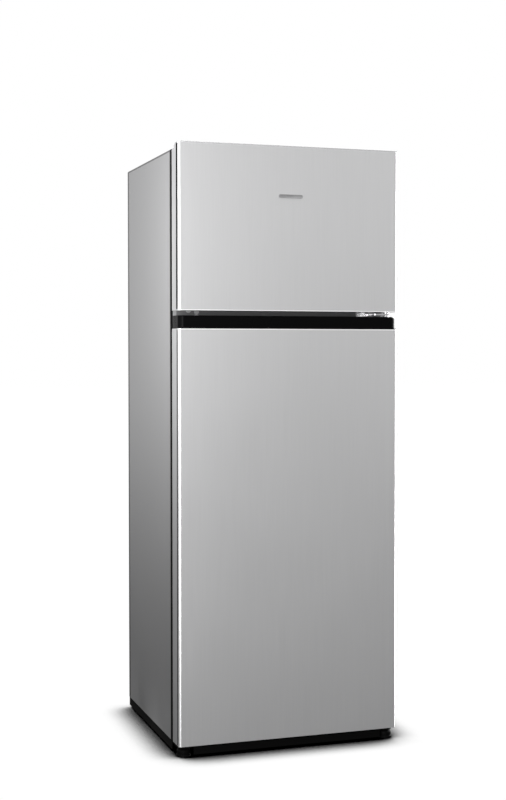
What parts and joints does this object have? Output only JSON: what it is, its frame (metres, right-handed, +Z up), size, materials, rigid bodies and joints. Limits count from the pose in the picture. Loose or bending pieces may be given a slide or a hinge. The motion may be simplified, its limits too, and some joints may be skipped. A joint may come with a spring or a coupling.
{
  "type": "top freezer refrigerator",
  "caption": "Free-standing refrigerator with a freezer compartment over a fridge compartment, each behind its own right-hung door, with a wire condenser and compressor at the back.",
  "frame": {"origin": "on the floor under the middle of the overall box, doors shut", "axes": "+X to the hinge side (right, seen from the front), +Y to the back, +Z up"},
  "size_m": [0.55, 0.542, 1.434],
  "materials": {
    "cabinet_steel": "silver grey paint, satin",
    "door_steel": "fine inox look under a clear lacquer",
    "back_steel": "galvanised sheet",
    "black_steel": "black powder coat",
    "zinc_steel": "bright zinc plate",
    "black_gloss": "glossy black moulding",
    "black_matte": "textured black moulding",
    "grey_plastic": "silver grey moulding",
    "white_plastic": "white liner sheet",
    "clear_plastic": "clear moulding",
    "lens_plastic": "frosted moulding",
    "shelf_glass": "toughened float glass",
    "seal_rubber": "soft grey seal",
    "black_rubber": "black rubber",
    "foam_core": "rigid polyurethane foam",
    "copper": "drawn copper",
    "evaporator_aluminium": "roll-bonded sheet",
    "badge_metal": "satin grey"
  },
  "bodies": {
    "cabinet": {"outer_wrapper": "cabinet_steel", "back_panel": "back_steel", "base_pan": "back_steel", "fridge_liner": "white_plastic", "freezer_liner": "white_plastic", "mid_rail": "cabinet_steel", "cabinet_foam": "foam_core", "base_frame": "black_steel", "kick_plate": "black_matte", "compressor_plate": "black_steel", "bottom_hinge": "black_steel", "foot_bracket": "black_steel", "middle_hinge": "zinc_steel", "top_hinge": "zinc_steel", "top_hinge_cover": "grey_plastic", "hinge_screws": "zinc_steel", "blanking_plugs": "grey_plastic", "compressor": "black_steel", "compressor_grommets": "black_rubber", "compressor_bolts": "zinc_steel", "terminal_cover": "black_matte", "drip_tray": "black_matte", "drain_tube": "white_plastic", "condenser_coil": "black_steel", "condenser_wires": "black_steel", "condenser_spacers": "black_matte", "refrigerant_tubes": "copper", "filter_drier": "copper", "evaporator_plates": "evaporator_aluminium", "cord_gland": "black_rubber", "control_housing": "white_plastic", "lamp_lens": "lens_plastic", "lamp_bulb": "lens_plastic", "thermostat": "grey_plastic", "shelf_glass": "shelf_glass", "shelf_trims": "white_plastic", "ice_cube_tray": "white_plastic"},
    "levelling_foot_left": {"levelling_foot_left": "black_matte"},
    "levelling_foot_right": {"levelling_foot_right": "black_matte"},
    "rear_roller_left": {"rear_roller_left": "black_matte"},
    "rear_roller_right": {"rear_roller_right": "black_matte"},
    "thermostat_knob": {"thermostat_knob": "white_plastic"},
    "light_switch_plunger": {"light_switch_plunger": "white_plastic"},
    "crisper_drawer": {"crisper_drawer": "clear_plastic"},
    "freezer_door": {"freezer_door_skin": "door_steel", "freezer_door_top_cap": "grey_plastic", "freezer_door_bottom_cap": "grey_plastic", "freezer_door_foam": "foam_core", "freezer_door_liner": "white_plastic", "freezer_door_gasket": "seal_rubber", "freezer_door_bins": "clear_plastic", "door_badge": "badge_metal"},
    "fridge_door": {"fridge_door_skin": "door_steel", "fridge_door_handle_cap": "black_gloss", "fridge_door_bottom_cap": "grey_plastic", "fridge_door_foam": "foam_core", "fridge_door_liner": "white_plastic", "fridge_door_gasket": "seal_rubber", "fridge_door_bins": "clear_plastic", "egg_tray": "clear_plastic"}
  },
  "joints": [
    {"name": "freezer_door_hinge", "type": "hinge", "parent": "cabinet", "child": "freezer_door", "pos_m": [0.257, -0.2418, 1.0458], "axis": [0, 0, 1], "range_deg": [0, 120]},
    {"name": "fridge_door_hinge", "type": "hinge", "parent": "cabinet", "child": "fridge_door", "pos_m": [0.257, -0.2418, 0.0284], "axis": [0, 0, 1], "range_deg": [0, 120]},
    {"name": "crisper_slide", "type": "slide", "parent": "cabinet", "child": "crisper_drawer", "axis": [0, -1, 0], "range_m": [0, 0.19]},
    {"name": "light_switch_press", "type": "slide", "parent": "cabinet", "child": "light_switch_plunger", "axis": [0, -1, 0], "range_m": [0, 0.005]},
    {"name": "thermostat_turn", "type": "hinge", "parent": "cabinet", "child": "thermostat_knob", "pos_m": [0.092, -0.1493, 0.975], "axis": [0, -1, 0], "range_deg": [-240, 0]},
    {"name": "levelling_foot_left_screw", "type": "slide", "parent": "cabinet", "child": "levelling_foot_left", "axis": [0, 0, -1], "range_m": [0, 0.01]},
    {"name": "levelling_foot_right_screw", "type": "slide", "parent": "cabinet", "child": "levelling_foot_right", "axis": [0, 0, -1], "range_m": [0, 0.01]},
    {"name": "rear_roller_left_spin", "type": "hinge", "parent": "cabinet", "child": "rear_roller_left", "pos_m": [-0.239, 0.208, 0.014], "axis": [1, 0, 0], "continuous": true},
    {"name": "rear_roller_right_spin", "type": "hinge", "parent": "cabinet", "child": "rear_roller_right", "pos_m": [0.239, 0.208, 0.014], "axis": [1, 0, 0], "continuous": true}
  ],
  "couplings": [
    {"joint": "crisper_slide", "follows": "fridge_door_hinge", "m_per_rad": 0.0907},
    {"joint": "light_switch_press", "follows": "fridge_door_hinge", "m_per_rad": 0.00238}
  ]
}
